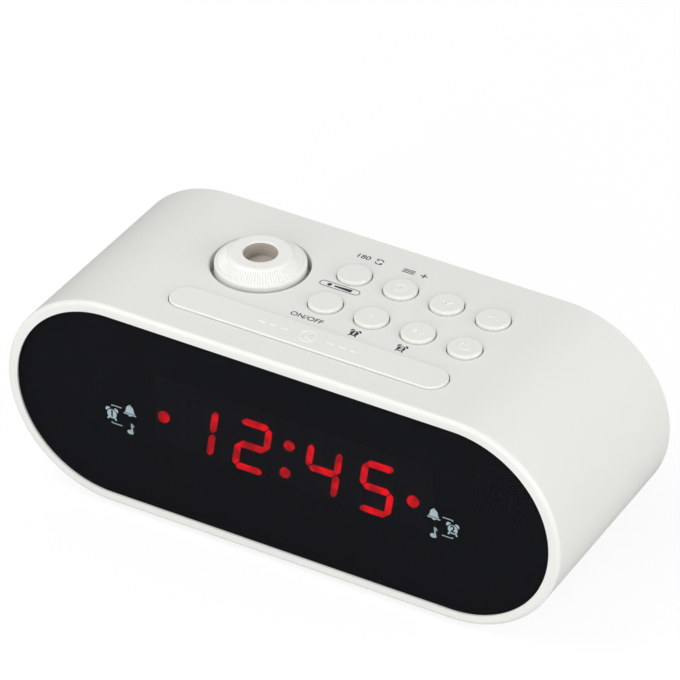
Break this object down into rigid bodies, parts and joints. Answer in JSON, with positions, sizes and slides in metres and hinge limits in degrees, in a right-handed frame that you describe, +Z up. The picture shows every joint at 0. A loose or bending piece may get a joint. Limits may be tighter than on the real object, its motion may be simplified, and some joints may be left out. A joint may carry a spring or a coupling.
{
  "type": "projection alarm clock",
  "caption": "Low bedside clock with round ends, a smoked display window, push buttons, a snooze bar and a turning projector dome on top",
  "frame": {"origin": "on the surface the clock stands on, under the middle of the casing", "axes": "+X to the right as seen from the front, +Y to the back, +Z up"},
  "size_m": [0.1578, 0.0604, 0.0647],
  "materials": {
    "casing": "satin off-white moulded plastic",
    "cover": "fine matt off-white moulded plastic",
    "window": "polished smoked acrylic",
    "gasket": "thin foam tape",
    "keys": "satin off-white moulded plastic",
    "dome": "satin white moulded plastic with moulded finger ridges",
    "barrel": "matt grey-brown moulded plastic",
    "lens": "clear moulded lens",
    "tube": "matt black moulded plastic",
    "slide": "liquid crystal glass",
    "lamp": "clear red lamp body",
    "steel": "zinc-plated steel",
    "cell": "plain stainless steel",
    "rubber": "dark grey rubber",
    "switch": "black moulded plastic",
    "plunger": "brown moulded plastic",
    "board": "green lacquered circuit board",
    "digits": "glowing red diffuser",
    "digits_off": "unlit red diffuser",
    "display": "black display face",
    "cans": "sleeved aluminium cans",
    "iron": "varnished iron sheets",
    "winding": "yellow taped copper winding",
    "basket": "black painted steel basket",
    "cone": "black paper cone",
    "magnet": "ferrite magnet"
  },
  "bodies": {
    "casing": {"main_shell": "casing", "rear_cover": "cover", "front_window": "window", "window_gasket": "gasket", "condenser_lens": "lens", "projector_tube": "tube", "lamp_spacer": "tube", "image_slide": "slide", "projector_lamp": "lamp", "rear_screws": "steel", "inner_screws": "steel", "cell_contacts": "steel", "transformer_strap": "steel", "rubber_feet": "rubber", "cord_bush": "rubber", "aerial_grommet": "rubber", "key_switches": "switch", "board_chips": "switch", "cell_holder": "switch", "key_board": "board", "display_board": "board", "main_board": "board", "lamp_board": "board", "strokes_lit": "digits", "colon_dots": "digits", "alarm_dots": "digits", "strokes_dark": "digits_off", "display_module": "display", "capacitors": "cans", "transformer_core": "iron", "transformer_coil": "winding", "speaker_frame": "basket", "speaker_cone": "cone", "speaker_magnet": "magnet"},
    "snooze": {"snooze_bar": "keys", "plunger_snooze": "plunger"},
    "dome": {"focus_ring": "dome"},
    "barrel": {"lens_barrel": "barrel", "focus_pins": "steel", "projection_lens": "lens"},
    "tray": {"cell_tray": "cover", "coin_cell": "cell"},
    "key_flip": {"button_flip": "keys", "plunger_flip": "plunger"},
    "key_memory": {"button_memory": "keys", "plunger_memory": "plunger"},
    "key_down": {"button_down": "keys", "plunger_down": "plunger"},
    "key_up": {"button_up": "keys", "plunger_up": "plunger"},
    "key_projection": {"button_projection": "keys", "plunger_projection": "plunger"},
    "key_alarm_one": {"button_alarm_one": "keys", "plunger_alarm_one": "plunger"},
    "key_alarm_two": {"button_alarm_two": "keys", "plunger_alarm_two": "plunger"},
    "key_power": {"button_power": "keys", "plunger_power": "plunger"}
  },
  "joints": [
    {"name": "focus_turn", "type": "hinge", "parent": "casing", "child": "dome", "pos_m": [-0.0257, 0.0058, 0.062], "axis": [0, 0, 1], "range_deg": [-60, 60]},
    {"name": "barrel_slide", "type": "slide", "parent": "casing", "child": "barrel", "axis": [0, 0, 1], "range_m": [-0.00151, 0.00151]},
    {"name": "tray_pull", "type": "slide", "parent": "casing", "child": "tray", "axis": [0, 1, 0], "range_m": [0, 0.024]},
    {"name": "snooze_press", "type": "slide", "parent": "casing", "child": "snooze", "axis": [0, 0, -1], "range_m": [0, 0.0005], "stiffness_N_per_m": 1500},
    {"name": "flip_press", "type": "slide", "parent": "casing", "child": "key_flip", "axis": [0, 0, -1], "range_m": [0, 0.0005], "stiffness_N_per_m": 1500},
    {"name": "memory_press", "type": "slide", "parent": "casing", "child": "key_memory", "axis": [0, 0, -1], "range_m": [0, 0.0005], "stiffness_N_per_m": 1500},
    {"name": "down_press", "type": "slide", "parent": "casing", "child": "key_down", "axis": [0, 0, -1], "range_m": [0, 0.0005], "stiffness_N_per_m": 1500},
    {"name": "up_press", "type": "slide", "parent": "casing", "child": "key_up", "axis": [0, 0, -1], "range_m": [0, 0.0005], "stiffness_N_per_m": 1500},
    {"name": "projection_press", "type": "slide", "parent": "casing", "child": "key_projection", "axis": [0, 0, -1], "range_m": [0, 0.0005], "stiffness_N_per_m": 1500},
    {"name": "alarm_one_press", "type": "slide", "parent": "casing", "child": "key_alarm_one", "axis": [0, 0, -1], "range_m": [0, 0.0005], "stiffness_N_per_m": 1500},
    {"name": "alarm_two_press", "type": "slide", "parent": "casing", "child": "key_alarm_two", "axis": [0, 0, -1], "range_m": [0, 0.0005], "stiffness_N_per_m": 1500},
    {"name": "power_press", "type": "slide", "parent": "casing", "child": "key_power", "axis": [0, 0, -1], "range_m": [0, 0.0005], "stiffness_N_per_m": 1500}
  ],
  "couplings": [
    {"joint": "barrel_slide", "follows": "focus_turn", "m_per_rad": -0.0014324}
  ]
}
